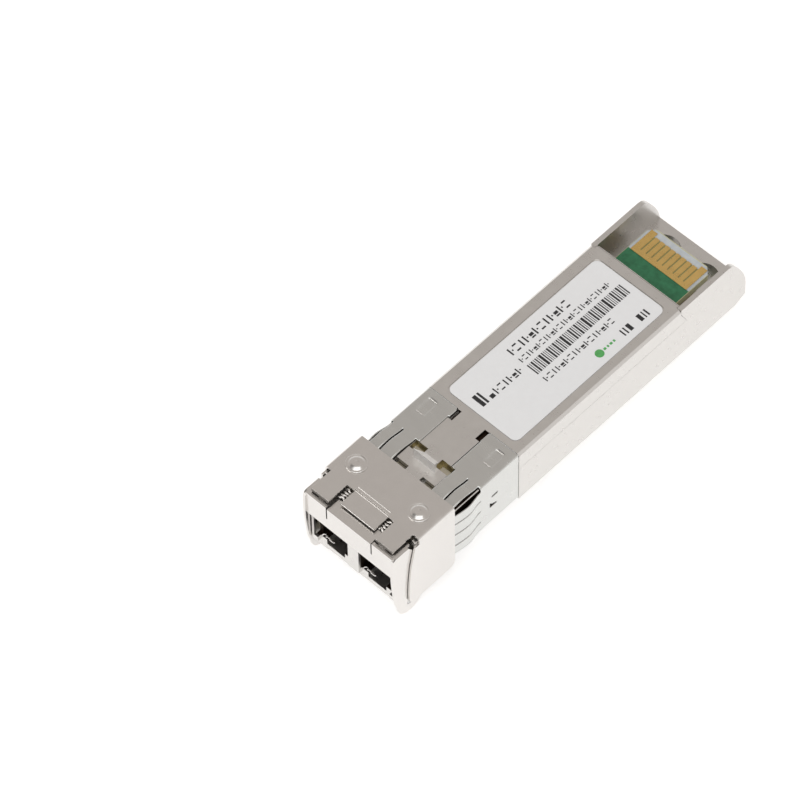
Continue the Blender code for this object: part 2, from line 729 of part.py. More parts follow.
def optics_flex(datum, look, name, side):
    """A flexible circuit that stands behind the header and folds over on to the board."""
    x = side * PORT_PITCH / 2
    on_board = BOARD_Z[1] + 0.1
    inner = [(-44.15, 1.6), (-44.15, on_board - 0.2), (-43.95, on_board), (-39.3, on_board)]
    outer = [(-39.3, on_board + 0.15), (-44.05, on_board + 0.15), (-44.3, on_board - 0.1), (-44.3, 1.6)]
    solid(name, look, datum, prism(inner + outer, "x", x - 1.2, x + 1.2))


def optics_clamp(datum, look):
    """A plate across the shell that holds both barrels behind their flanges."""
    outline = rounded_rectangle(-5.45, 5.45, FLOOR_TOP + 0.1, 6.85, 0.5, 3)
    solid(
        "optics_clamp", look, datum,
        prism(outline, "y", -46.75, -45.75),
        cut(*rods("y", PORT_PITCH / 2, OPTICAL_AXIS_Z, 1.76, -48.0, -44.0)),
        cut(block((-0.9, 0.9), (-48.0, -44.0), (4.2, 8.0))),
    )


# ---------------------------------------------------------------- board


def board_outline():
    half, (front, rear), chamfer = BOARD_HALF_WIDTH, BOARD_Y, 0.85
    return [
        (-half, front), (half, front), (half, rear - chamfer), (half - chamfer, rear),
        (-half + chamfer, rear), (-half, rear - chamfer),
    ]


def pcb(datum, look):
    notches = rods("z", SCREW_X, SCREW_Y, SCREW_BOSS_RADIUS + 0.25, 4.0, 8.0, 24)
    solid("pcb", look, datum, prism(board_outline(), "z", *BOARD_Z), cut(*notches))


def contact_comb(datum, look, name, low, high):
    """Ten edge contacts on the standard pitch, joined at their roots. The outer ones are wider and longer."""
    first = -(CONTACT_COUNT - 1) / 2 * CONTACT_PITCH
    end = CONTACT_COUNT - 1
    outline = []
    for number in range(CONTACT_COUNT):
        x = first + number * CONTACT_PITCH
        left = x - (CONTACT_OUTER_HALF if number == 0 else CONTACT_HALF)
        right = x + (CONTACT_OUTER_HALF if number == end else CONTACT_HALF)
        tip = CONTACT_TIPS[0] if number in (0, end) else CONTACT_TIPS[1]
        outline += [(left, CONTACT_ROOT[1]), (left, tip), (right, tip), (right, CONTACT_ROOT[1])]
    corners = [(outline[-1][0], CONTACT_ROOT[0]), (outline[0][0], CONTACT_ROOT[0])]
    solid(name, look, datum, prism(outline[1:-1] + corners, "z", low, high))


def chip(datum, look, name, x, y, z):
    """A flat moulded package with a chamfered top."""
    shape = block(x, y, z)
    top = [edge for edge in shape.edges if all(vert.co.z > z[1] - 1e-6 for vert in edge.verts)]
    bmesh.ops.bevel(shape, geom=top, offset=0.08, segments=1, affect="EDGES")
    solid(name, look, datum, shape)


# ---------------------------------------------------------------- latch


def pivot_pin(datum, look, name, side):
    low, high = (4.95, 6.75) if side > 0 else (-6.75, -4.95)
    solid(name, look, datum, rod("x", (PIVOT_Y, PIVOT_Z), PIVOT_PIN_RADIUS, low, high, 24))


def arm_outline():
    """One arm of the bail seen from the side: a slim leaf that ends in a round lobe about the pivot."""
    return [
        (-56.1, 9.35),
        (-56.45, 9.15),
        (-56.6, 8.7),
        (FRONT_END, 7.0),
        (-56.62, 5.2),
        (-56.5, 3.2),
        (-56.36, 1.7),
        (-56.2, 0.3),
        *arc((PIVOT_Y, PIVOT_Z), LOBE_RADIUS, 178, 410, 18),
        (-53.3, 2.2),
        (-53.2, 8.0),
        (-54.1, 9.3),
    ]


def bail_lever(datum, look):
    pivot = (0.0, PIVOT_Y, PIVOT_Z)
    arm = prism(arm_outline(), "x", *ARM_X)
    hole = rod("x", (PIVOT_Y, PIVOT_Z), PIVOT_HOLE_RADIUS, 6.0, 7.5, 24)
    drive = rod("x", DRIVE_PIN, DRIVE_PIN_RADIUS, 5.98, 6.5, 16)
    bar_y = (-56.42, -56.0)
    solid(
        "bail_lever", look, datum,
        block((-6.5, 6.5), bar_y, (5.6, 9.35)),
        add(arm, mirrored(arm)),
        cut(block((-3.25, 3.25), (-57.0, -55.0), (9.2, 10.0))),
        add(block((-3.2, 3.2), (-56.25, -54.5), (8.85, 9.2))),
        add(*both_sides(block, (5.95, 6.45), (-56.1, -53.65), (8.9, 9.35))),
        cut(*both_sides(block, (3.25, 3.42), (-57.0, -55.0), (7.3, 10.0))),
        cut(hole, mirrored(hole)),
        add(drive, mirrored(drive)),
        pivot=pivot,
    )


def leg_outline():
    """One leg of the slider: down the side, then forward to a fork that straddles the bail's drive pin."""
    gap = DRIVE_PIN_RADIUS + 0.09
    fork_bottom, fork_roof = -0.5, PIVOT_Z + DRIVE_RADIUS + DRIVE_PIN_RADIUS + 0.1
    pin = DRIVE_PIN[0]
    return [
        (-52.3, 9.2),
        (-52.3, 1.1),
        (pin - gap - 0.5, 0.9),
        (pin - gap - 0.5, fork_bottom),
        (pin - gap, fork_bottom),
        (pin - gap, fork_roof),
        (pin + gap, fork_roof),
        (pin + gap, fork_bottom),
        (-51.0, fork_bottom),
        (-51.0, 9.2),
    ]


def latch_slider(datum, look):
    leg = prism(leg_outline(), "x", *LEG_X)
    slot_y = (RIVET_Y - RIVET_SHANK_RADIUS - 0.1, RIVET_Y + RIVET_SHANK_RADIUS + 0.1 + SLIDER_TRAVEL)
    slot = block((RIVET_X - 0.8, RIVET_X + 0.8), slot_y, (8.5, 10.0))
    riser_y = (-48.05, -47.7)
    solid(
        "latch_slider", look, datum,
        block((-LEG_X[1], LEG_X[1]), (-52.8, -47.7), SLIDER_PLATE_Z),
        add(leg, mirrored(leg)),
        cut(slot, mirrored(slot)),
        add(*both_sides(block, TINE_X, riser_y, (TINE_Z[0], SLIDER_PLATE_Z[1] - 0.02))),
        add(*both_sides(block, (TINE_X[0] + 0.01, TINE_X[1] - 0.01), (riser_y[0] + 0.1, TINE_TIP), TINE_Z)),
        add(block((-0.6, 0.6), (riser_y[0] + 0.01, riser_y[1] - 0.01), (7.45, SLIDER_PLATE_Z[0] + 0.1))),
    )


def return_spring(datum, look):
    """A coil that pushes the slider back, between the receptacle and the slider's lug."""
    points = []
    steps = SPRING_TURNS * 14
    low, high = SPRING_Y
    for i in range(steps + 1):
        way = i / steps
        angle = 2 * math.pi * SPRING_TURNS * way
        x, z = SPRING_RADIUS * math.cos(angle), SPRING_Z + SPRING_RADIUS * math.sin(angle)
        points.append(Vector((x, low + (high - low) * way, z)) * MM)
    curve = bpy.data.curves.new("return_spring", "CURVE")
    curve.dimensions = "3D"
    curve.bevel_depth = SPRING_WIRE_RADIUS * MM
    curve.bevel_resolution = 1
    curve.use_fill_caps = True
    spline = curve.splines.new("POLY")
    spline.points.add(len(points) - 1)
    for point, place in zip(spline.points, points):
        point.co = (*place, 1.0)
    curve.materials.append(look)
    spring = bpy.data.objects.new("return_spring", curve)
    spring.parent = datum
    bpy.context.scene.collection.objects.link(spring)


def main():
    clear_scene()
    datum = make_datum()
    nickel = material("nickel_plated_zinc", (0.62, 0.59, 0.56), 1.0, 0.34)
    steel = material("stainless_sheet", (0.58, 0.58, 0.56), 1.0, 0.28)
    bright = material("bright_nickel", (0.68, 0.66, 0.62), 1.0, 0.2)
    gold = material("gold_plating", (0.72, 0.50, 0.20), 1.0, 0.3)
    mask = material("green_solder_mask", (0.03, 0.22, 0.13), 0.0, 0.4)
    paper = material("label_stock", (0.83, 0.84, 0.86), 0.0, 0.45)
    epoxy = material("moulded_epoxy", (0.03, 0.03, 0.032), 0.0, 0.5)
    silicone = material("thermal_silicone", (0.35, 0.42, 0.55), 0.0, 0.8)
    polyimide = material("polyimide", (0.55, 0.28, 0.06), 0.0, 0.4)
    ceramic = material("zirconia", (0.85, 0.84, 0.80), 0.0, 0.3)

    base_housing(datum, nickel)
    top_cover(datum, nickel)
    label(datum, paper)
    emi_collar(datum, steel)
    head_cover(datum, bright)
    lc_receptacle(datum, nickel)
    optics_clamp(datum, steel)
    pcb(datum, mask)
    contact_comb(datum, gold, "contacts_top", BOARD_Z[1] + 0.02, BOARD_Z[1] + 0.08)
    contact_comb(datum, gold, "contacts_bottom", BOARD_Z[0] - 0.08, BOARD_Z[0] - 0.02)
    chip(datum, epoxy, "laser_driver_chip", (-3.7, -0.7), (-36.0, -33.1), (6.3, 7.05))
    chip(datum, epoxy, "receiver_chip", (0.7, 3.7), (-36.0, -33.1), (6.3, 7.05))
    chip(datum, epoxy, "microcontroller", (-1.8, 1.8), (-25.5, -21.9), (6.3, 7.1))
    chip(datum, epoxy, "power_inductor", (0.9, 3.4), (-17.8, -15.3), (6.3, 7.4))
    chip(datum, silicone, "thermal_pad", (-3.6, 3.6), (-35.9, -33.2), (7.1, 7.55))
    bail_lever(datum, bright)
    latch_slider(datum, steel)
    return_spring(datum, steel)
    for side, hand, optic in ((-1, "left", "tosa"), (1, "right", "rosa")):
        shell_screw(datum, steel, f"shell_screw_{hand}", side)
        cover_rivet(datum, bright, f"cover_rivet_{hand}", side)
        pivot_pin(datum, steel, f"pivot_pin_{hand}", side)
        optical_barrel(datum, steel, f"{optic}_barrel", side)
        alignment_sleeve(datum, ceramic, f"{optic}_sleeve", side)
        optical_header(datum, gold, f"{optic}_header", side)
        optics_flex(datum, polyimide, f"{optic}_flex", side)


main()
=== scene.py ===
"""Looks of a pluggable optical transceiver module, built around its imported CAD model.

Numbers for shapes are millimetres in the module's own datum: x across, y towards the rear, z away from the
underside, with z = 0 on the underside of the shell. at() carries a point into the frame, in metres.
"""

import json
import math

import bmesh
import bpy
from mathutils import Matrix, Vector


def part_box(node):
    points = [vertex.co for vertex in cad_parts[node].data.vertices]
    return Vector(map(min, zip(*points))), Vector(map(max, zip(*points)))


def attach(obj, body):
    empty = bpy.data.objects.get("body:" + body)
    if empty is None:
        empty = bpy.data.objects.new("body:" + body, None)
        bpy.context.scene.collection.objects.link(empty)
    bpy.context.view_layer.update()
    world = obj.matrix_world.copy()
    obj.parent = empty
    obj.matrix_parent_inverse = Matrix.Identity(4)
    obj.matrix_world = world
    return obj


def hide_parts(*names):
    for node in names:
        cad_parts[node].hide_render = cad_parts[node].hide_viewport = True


MM = 0.001
REAR_END = 0.75
SHELL_TOP = 8.5
HALF_WIDTH = 6.775

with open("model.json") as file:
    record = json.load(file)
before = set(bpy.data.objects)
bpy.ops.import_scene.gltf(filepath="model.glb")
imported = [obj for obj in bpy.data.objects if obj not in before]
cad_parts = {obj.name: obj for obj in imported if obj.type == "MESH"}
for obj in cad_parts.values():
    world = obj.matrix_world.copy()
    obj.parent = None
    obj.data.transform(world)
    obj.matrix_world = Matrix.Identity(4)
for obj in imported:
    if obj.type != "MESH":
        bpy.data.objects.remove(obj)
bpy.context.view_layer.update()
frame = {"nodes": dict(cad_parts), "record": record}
shell_low, shell_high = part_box("base_housing")
DATUM = Vector((0.0, shell_high.y - REAR_END * MM, shell_low.z))

SLOT_OF = {row["node"]: row["material_slot"] for row in frame["record"]["subparts"]}


def at(x, y, z):
    """A point in millimetres from the module's datum, in the frame's metres."""
    return Vector((x, y, z)) * MM + DATUM


# ---------------------------------------------------------------- node helpers


class Graph:
    """A material's node tree with short ways to add and join nodes."""

    def __init__(self, name):
        self.material = bpy.data.materials.new(name)
        self.material.use_nodes = True
        self.tree = self.material.node_tree
        self.shader = self.tree.nodes["Principled BSDF"]
        place = self.tree.nodes.new("ShaderNodeTexCoord")
        self.place = place.outputs["Object"]

    def node(self, kind, inputs=None, **settings):
        made = self.tree.nodes.new(kind)
        for key, value in settings.items():
            setattr(made, key, value)
        for key, value in (inputs or {}).items():
            if isinstance(value, bpy.types.NodeSocket):
                self.tree.links.new(value, made.inputs[key])
            else:
                made.inputs[key].default_value = value
        return made

    def noise(self, scale, detail=3.0, rough=0.55, stretch=None):
        where = self.place
        if stretch:
            where = self.node("ShaderNodeMapping", {"Vector": where, "Scale": stretch}).outputs["Vector"]
        return self.node(
            "ShaderNodeTexNoise", {"Vector": where, "Scale": scale, "Detail": detail, "Roughness": rough}
        ).outputs["Fac"]

    def spread(self, value, low, high, start=0.3, end=0.7):
        return self.node(
            "ShaderNodeMapRange",
            {"Value": value, "From Min": start, "From Max": end, "To Min": low, "To Max": high},
        ).outputs["Result"]

    def mix(self, factor, first, second):
        mixed = self.node("ShaderNodeMix", data_type="RGBA")
        self.put(mixed.inputs[0], factor)
        self.put(mixed.inputs[6], first)
        self.put(mixed.inputs[7], second)
        return mixed.outputs[2]

    def put(self, socket, value):
        if isinstance(value, bpy.types.NodeSocket):
            self.tree.links.new(value, socket)
        else:
            socket.default_value = value

    def math(self, operation, first, second=0.0):
        made = self.node("ShaderNodeMath", operation=operation)
        self.put(made.inputs[0], first)
        self.put(made.inputs[1], second)
        return made.outputs[0]

    def inside(self, low, high, soft=0.04):
        """1 within a box given in datum millimetres, 0 outside, with a soft edge."""
        low, high = at(*low), at(*high)
        split = self.node("ShaderNodeSeparateXYZ", {"Vector": self.place})
        result = None
        for i, axis in enumerate("XYZ"):
            for edge, sign in ((low[i], 1), (high[i], -1)):
                reach = sign * soft * MM
                way = self.node(
                    "ShaderNodeMapRange",
                    {"Value": split.outputs[axis], "From Min": edge - reach, "From Max": edge + reach},
                ).outputs["Result"]
                result = way if result is None else self.math("MULTIPLY", result, way)
        return result

    def bump(self, height, strength, distance_mm):
        made = self.node(
            "ShaderNodeBump", {"Height": height, "Strength": strength, "Distance": distance_mm * MM}
        )
        self.tree.links.new(made.outputs["Normal"], self.shader.inputs["Normal"])


CLOUD_SCALE = 900
GRAIN_SCALE = 5200


def rgba(colour):
    return (*colour, 1.0)


def scaled(colour, factor):
    return rgba([channel * factor for channel in colour])


def metal(name, colour, roughness, mottle=0.035, grain=0.06, stretch=None, painted_light=()):
    """A metal with cloudy tone, uneven gloss and fine grain.

    Each patch of painted shade or painted highlight is (low, high, colour, added roughness), between two
    corners in datum millimetres.
    """
    g = Graph(name)
    cloud = g.noise(CLOUD_SCALE, 4.0, 0.6, stretch)
    fine = g.noise(GRAIN_SCALE, 3.0, 0.6, stretch)
    tone = g.mix(g.spread(cloud, 0.0, 1.0), scaled(colour, 1 - mottle), scaled(colour, 1 + mottle * 0.6))
    tone = g.mix(g.spread(fine, 0.0, 0.3), tone, scaled(colour, 1 - mottle))
    rough = g.spread(cloud, roughness * 0.85, roughness * 1.2)
    for low, high, painted_tone, added in painted_light:
        mask = g.inside(low, high)
        tone = g.mix(mask, tone, rgba(painted_tone))
        rough = g.math("ADD", rough, g.math("MULTIPLY", mask, added))
    g.put(g.shader.inputs["Base Color"], tone)
    g.put(g.shader.inputs["Roughness"], rough)
    g.shader.inputs["Metallic"].default_value = 1.0
    g.bump(fine, grain, 0.01)
    return g.material


def dielectric(name, colour, roughness, variation=0.05, scale=1500, grain=0.2, coat=0.0):
    """Plastic, ceramic, film or ink with a slightly uneven tone and gloss."""
    g = Graph(name)
    cloud = g.noise(scale, 4.0, 0.6)
    fine = g.noise(scale * 5, 2.0, 0.5)
    tone = g.mix(g.spread(cloud, 0.0, 1.0), scaled(colour, 1 - variation), scaled(colour, 1 + variation))
    g.put(g.shader.inputs["Base Color"], tone)
    g.put(g.shader.inputs["Roughness"], g.spread(cloud, roughness * 0.9, roughness * 1.15))
    g.shader.inputs["Coat Weight"].default_value = coat
    g.shader.inputs["Coat Roughness"].default_value = 0.15
    g.bump(fine, grain, 0.008)
    return g.material


# ---------------------------------------------------------------- materials

# Colours painted on the shell's nickel in boxes: painted shade in its recesses and a painted highlight on the
# latch post.
SHADE = (0.03, 0.02, 0.014)
POCKET_SHADE = (0.05, 0.03, 0.02)
SQUARE_POCKET_SHADE = (0.52, 0.47, 0.33)
POST_PAINTED_HIGHLIGHT = (0.97, 0.96, 0.95)
DULL = 0.3
SHELL_PAINTED_LIGHT = [
    # painted shade on the core under the collar's fingers: right, left and below
    ((3.0, -47.7, -0.2), (7.2, -36.95, 8.3), SHADE, DULL),
    ((-7.2, -47.7, -0.2), (-3.0, -36.95, 8.3), SHADE, DULL),
    ((-3.2, -47.7, -0.2), (3.2, -36.95, 4.0), SHADE, DULL),
    # painted shade in the notches that the collar's two tabs drop into
    ((1.7, -38.4, 7.7), (2.65, -36.7, 8.45), POCKET_SHADE, DULL),
    ((-2.2, -38.4, 7.7), (-1.7, -36.7, 8.45), POCKET_SHADE, DULL),
    # painted shade in the two square pockets beside the latch post, and a painted highlight on the post
    ((1.0, -44.1, 7.0), (2.9, -42.7, 8.42), SQUARE_POCKET_SHADE, 0.05),
    ((-2.9, -44.1, 7.0), (-1.0, -42.7, 8.42), SQUARE_POCKET_SHADE, 0.05),
    ((-1.7, -44.8, 8.52), (1.7, -43.3, 10.2), POST_PAINTED_HIGHLIGHT, DULL),
]
# Painted shade inside the two ports of the nose.
PORT_SHADE = ((-6.0, -55.6, 0.9), (6.0, -46.0, 5.52), SHADE, DULL)

NICKEL = (0.70, 0.685, 0.665)
looks = {
    # The shell's nickel, with painted shade in its recesses and a painted highlight on the latch post.
    "nickel_plated_zinc": metal("satin_nickel", NICKEL, 0.30, painted_light=SHELL_PAINTED_LIGHT),
    # The nose's nickel, with painted shade inside its ports.
    "nose_nickel": metal("nose_nickel", NICKEL, 0.30, painted_light=[PORT_SHADE]),
    "bright_nickel": metal("bright_nickel_plating", (0.73, 0.71, 0.69), 0.22, mottle=0.025, grain=0.06),
    "stainless_sheet": metal(
        "rolled_stainless", (0.66, 0.665, 0.65), 0.24, mottle=0.03, grain=0.06, stretch=(0.4, 1.0, 0.4)
    ),
    "slider_sheet": metal("slider_sheet", (0.56, 0.52, 0.42), 0.28),
    "turned_steel": metal("turned_steel", (0.60, 0.60, 0.59), 0.3, stretch=(1.0, 0.2, 1.0)),
    "gold_plating": metal("hard_gold", (0.80, 0.55, 0.20), 0.28, mottle=0.1, grain=0.2),
    "zirconia": dielectric("zirconia_ceramic", (0.85, 0.84, 0.80), 0.25, coat=0.3),
    "polyimide": dielectric("polyimide_film", (0.55, 0.28, 0.06), 0.4, coat=0.2),
    "moulded_epoxy": dielectric("moulded_epoxy", (0.03, 0.03, 0.032), 0.5, 0.15),
    "thermal_silicone": dielectric("thermal_silicone", (0.35, 0.42, 0.55), 0.8),
    "label_stock": dielectric("label_film", (0.87, 0.885, 0.905), 0.35, 0.012, 1200, 0.05, coat=0.15),
}


MASK_GREENS = ((0.016, 0.13, 0.055, 1), (0.035, 0.22, 0.10, 1))
LAMINATE_GREYS = ((0.50, 0.55, 0.60, 1), (0.60, 0.64, 0.66, 1))
CONTACT_GROUND = (0.34, 0.31, 0.12, 1)
BOARD_RIM = (0.62, 0.60, 0.36, 1)
BOARD_SIDE, RIM_HALF = 4.6, 0.06
BOARD_UNDER, BOARD_SKIN, BOARD_OVER = 5.0, 6.2, 6.4


def board_look():
    """Green solder mask, with bare pale laminate along the contact edge and a yellow-green rim."""
    g = Graph("green_solder_mask")
    cloud = g.noise(1300, 4.0)
    tone = g.mix(g.spread(cloud, 0.0, 1.0), *MASK_GREENS)
    bare = g.mix(g.spread(cloud, 0.0, 1.0), *LAMINATE_GREYS)
    tone = g.mix(g.inside((-4.55, -6.5, BOARD_SKIN), (4.55, -2.6, BOARD_OVER)), tone, bare)
    tone = g.mix(g.inside((-4.0, -6.5, BOARD_SKIN), (4.0, -3.5, BOARD_OVER)), tone, CONTACT_GROUND)
    tone = g.mix(g.inside((-4.7, -2.62, BOARD_UNDER), (4.7, -2.0, BOARD_OVER)), tone, BOARD_RIM)
    for side in (-1, 1):
        low = (side * BOARD_SIDE - RIM_HALF, -42.0, BOARD_UNDER)
        high = (side * BOARD_SIDE + RIM_HALF, -2.0, BOARD_OVER)
        tone = g.mix(g.inside(low, high, 0.02), tone, BOARD_RIM)
    g.put(g.shader.inputs["Base Color"], tone)
    g.put(g.shader.inputs["Roughness"], g.spread(cloud, 0.28, 0.42))
    g.bump(g.noise(4000), 0.15, 0.01)
    return g.material


looks["green_solder_mask"] = board_look()
ink = dielectric("printing_ink", (0.018, 0.018, 0.02), 0.5, 0.2, 3000)
green_ink = dielectric("green_ink", (0.10, 0.42, 0.12), 0.5, 0.15, 3000)


def dress(obj, material):
    obj.data.materials.clear()
    obj.data.materials.append(material)


# ---------------------------------------------------------------- CAD nodes that stay: softened edges

OWN_LOOK = {"lc_receptacle": "nose_nickel", "latch_slider": "slider_sheet"}
EDGE_RADIUS = {
    "base_housing": 0.2,
    "top_cover": 0.07,
    "lc_receptacle": 0.08,
    "head_cover": 0.12,
    "bail_lever": 0.11,
    "latch_slider": 0.04,
    "pcb": 0.05,
    "laser_driver_chip": 0.03,
    "receiver_chip": 0.03,
    "microcontroller": 0.03,
    "power_inductor": 0.05,
    "thermal_pad": 0.08,
    "optics_clamp": 0.05,
}


FLAT_ANGLE = math.radians(2)
EDGE_ANGLE = math.radians(32)
SHARP_ANGLE = math.radians(35)


def soften(node, radius):
    """Joins the solid's triangles into its real faces, then rounds its edges."""
    flat = node.modifiers.new("faces", "DECIMATE")
    flat.decimate_type = "DISSOLVE"
    flat.angle_limit = FLAT_ANGLE
    if radius:
        edge = node.modifiers.new("edges", "BEVEL")
        edge.width = radius * MM
        edge.segments = 3
        edge.limit_method = "ANGLE"
        edge.angle_limit = EDGE_ANGLE
        edge.use_clamp_overlap = True
        edge.harden_normals = True
        edge.miter_outer = "MITER_ARC"
    even = node.modifiers.new("shading", "WEIGHTED_NORMAL")
    even.keep_sharp = True


for name, node in frame["nodes"].items():
    if "custom_normal" in node.data.attributes:
        node.data.attributes.remove(node.data.attributes["custom_normal"])
    node.data.shade_smooth()
    node.data.set_sharp_from_angle(angle=SHARP_ANGLE)
    weld = node.modifiers.new("joined", "WELD")
    weld.merge_threshold = 0.0005 * MM
    soften(node, EDGE_RADIUS.get(name, 0.0))
    dress(node, looks[OWN_LOOK.get(name, SLOT_OF[name])])


# ---------------------------------------------------------------- new pieces


def piece(name, shape, material, body, replaced=(), smooth=35):
    """A piece from a bmesh in datum millimetres, riding on a body."""
    bmesh.ops.transform(shape, matrix=Matrix.Translation(DATUM) @ Matrix.Scale(MM, 4), verts=shape.verts)
    mesh = bpy.data.meshes.new(name)
    shape.to_mesh(mesh)
    shape.free()
    made = bpy.data.objects.new(name, mesh)
    bpy.context.scene.collection.objects.link(made)
    mesh.shade_smooth()
    mesh.set_sharp_from_angle(angle=math.radians(smooth))
    dress(made, material)
    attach(made, body)
    if replaced:
        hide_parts(*replaced)
    return made


def absorb(whole, shape):
    """Adds one bmesh to another, and frees it."""
    mesh = bpy.data.meshes.new("scratch")
    shape.to_mesh(mesh)
    shape.free()
    whole.from_mesh(mesh)
    bpy.data.meshes.remove(mesh)


def step(value, low, high):
    """0 below low, 1 above high, and a smooth rise between them."""
    way = min(max((value - low) / (high - low), 0.0), 1.0)
    return way * way * (3 - 2 * way)


def turned_shape(x, y, profile, segments=72):
    """Points (radius, z) turned about an upright axis at x, y. The first and last are on the axis."""
    shape = bmesh.new()
    rings = []
    for radius, z in profile:
        if radius == 0:
            rings.append([shape.verts.new((x, y, z))])
        else:
            rings.append([
                shape.verts.new((x + radius * math.cos(a), y + radius * math.sin(a), z))
                for a in (2 * math.pi * i / segments for i in range(segments))
            ])
    for first, second in zip(rings, rings[1:]):
        for i in range(segments):
            j = (i + 1) % segments
            corners = [
                first[i % len(first)], first[j % len(first)], second[j % len(second)], second[i % len(second)]
            ]
            shape.faces.new(list(dict.fromkeys(corners)))
    bmesh.ops.recalc_face_normals(shape, faces=shape.faces)
    return shape


# ---- rivets: a rolled ring, a groove and a dome with a small flat

RIVET_X, RIVET_Y = 4.65, -50.3
RIVET_SHANK = [(0.0, 9.6), (0.74, 9.6), (0.74, 10.0)]
RIVET_RING = [(1.2, 10.0), (1.26, 10.04), (1.27, 10.1), (1.24, 10.15), (1.17, 10.17), (1.08, 10.14)]
RIVET_DOME = [
    (1.02, 10.12), (0.95, 10.15), (0.82, 10.24), (0.62, 10.32), (0.42, 10.36), (0.3, 10.365), (0.22, 10.33),
    (0.0, 10.32),
]

for side, hand in ((-1, "left"), (1, "right")):
    rivet = turned_shape(side * RIVET_X, RIVET_Y, RIVET_SHANK + RIVET_RING + RIVET_DOME)
    piece(
        f"rivet_head_{hand}", rivet, looks["bright_nickel"], "module",
        (f"cover_rivet_{hand}",), 60,
    )


# ---- spring collar

COLLAR_BACK, FINGER_ROOT, FINGER_TIP = -36.72, -42.76, -47.5
COLLAR_HALF = HALF_WIDTH - 0.02
WING_INNER, FINGER_INNER = 2.44, 2.98
TOP_SLITS = ((4.75, 4.95),)
SIDE_SLITS = ((6.2, 6.03), (4.17, 4.0), (2.1, 1.93))
COLLAR_LOW = 0.03
FLANK_TOP = 7.75
SEAM_OUTER, SEAM_INNER = 2.4, 2.2
CORNER, CORNER_STEPS = 0.45, 6
FINGER_APEX = -45.0
BULGE, TIP_DIP = 0.3, 0.06
FINGER_STEPS = 28
STRIDE = 0.16
SHEET_THICKNESS = 0.15
EMBOSS_DEPTH = 0.14
TAB_ROWS = (-38.25, -36.8)
TAB_DROP = ((2.36, 8.46), (2.3, 8.38), (2.26, 8.25), (2.24, 8.0))


def along(first, second, stride):
    """Points from first up to but not including second, about stride apart."""
    (x0, z0), (x1, z1) = first, second
    count = max(1, round(math.hypot(x1 - x0, z1 - z0) / stride))
    return [(x0 + (x1 - x0) * i / count, z0 + (z1 - z0) * i / count) for i in range(count)]


def collar_section():
    """The collar's outer section from the right wing's inner edge to the middle below, as (x, z)."""
    corner_x, upper_z, lower_z = COLLAR_HALF - CORNER, SHELL_TOP - CORNER, COLLAR_LOW + CORNER
    stops = [(WING_INNER, SHELL_TOP), (FINGER_INNER, SHELL_TOP)]
    for a, b in TOP_SLITS:
        stops += [(a, SHELL_TOP), (b, SHELL_TOP)]
    stops.append((corner_x, SHELL_TOP))
    for i in range(1, CORNER_STEPS):
        angle = math.radians(90 - 90 * i / CORNER_STEPS)
        stops.append((corner_x + CORNER * math.cos(angle), upper_z + CORNER * math.sin(angle)))
    stops += [(COLLAR_HALF, upper_z), (COLLAR_HALF, FLANK_TOP)]
    for a, b in SIDE_SLITS:
        stops += [(COLLAR_HALF, a), (COLLAR_HALF, b)]
    stops.append((COLLAR_HALF, lower_z))
    for i in range(1, CORNER_STEPS):
        angle = math.radians(-90 * i / CORNER_STEPS)
        stops.append((corner_x + CORNER * math.cos(angle), lower_z + CORNER * math.sin(angle)))
    stops += [(x, COLLAR_LOW) for x in (corner_x, SEAM_OUTER, SEAM_INNER, 0.0)]
    section = []
    for first, second in zip(stops, stops[1:]):
        section += along(first, second, STRIDE)
    section.append(stops[-1])
    return section


def finger_ranges():
    """The straight stretches that carry fingers: (start, end, outward direction)."""
    top, side, under = (0, 1), (1, 0), (0, -1)
    wing = [FINGER_INNER, *[x for pair in TOP_SLITS for x in pair], COLLAR_HALF - CORNER]
    ranges = [((a, SHELL_TOP), (b, SHELL_TOP), top) for a, b in zip(wing[::2], wing[1::2])]
    flank = [FLANK_TOP, *[z for pair in SIDE_SLITS for z in pair], COLLAR_LOW + CORNER]
    ranges += [((COLLAR_HALF, a), (COLLAR_HALF, b), side) for a, b in zip(flank[::2], flank[1::2])]
    for a, b in ((COLLAR_HALF - CORNER, SEAM_OUTER), (SEAM_INNER, 0.0)):
        ranges.append(((a, COLLAR_LOW), (b, COLLAR_LOW), under))
    return ranges


def emboss(x, y, z):
    """Depth of the pressed marks on the wings."""
    if z < SHELL_TOP - 0.05:
        return 0.0
    across = step(x, 4.35, 4.5) * (1 - step(x, 5.55, 5.7))
    back = step(y, -40.05, -39.88) * (1 - step(y, -37.85, -37.68))
    return EMBOSS_DEPTH * across * back


def bulge(y):
    """How far a finger stands off the core: a rise to its apex, then a fall past the sheet to its tip."""
    if y >= FINGER_APEX:
        way = (FINGER_ROOT - y) / (FINGER_ROOT - FINGER_APEX)
        return BULGE * math.sin(way * math.pi / 2) ** 2
    way = (FINGER_APEX - y) / (FINGER_APEX - FINGER_TIP)
    return BULGE - (BULGE + TIP_DIP) * way ** 1.6


def louvre(y, z):
    """The two small windows in each side of the band."""
    if -40.95 < y < -40.1 and 5.0 < z < 5.3:
        return True
    return -41.35 < y < -40.1 and 3.2 < z < 3.2 + 0.75 * (-40.1 - y) / 1.25 + 0.05


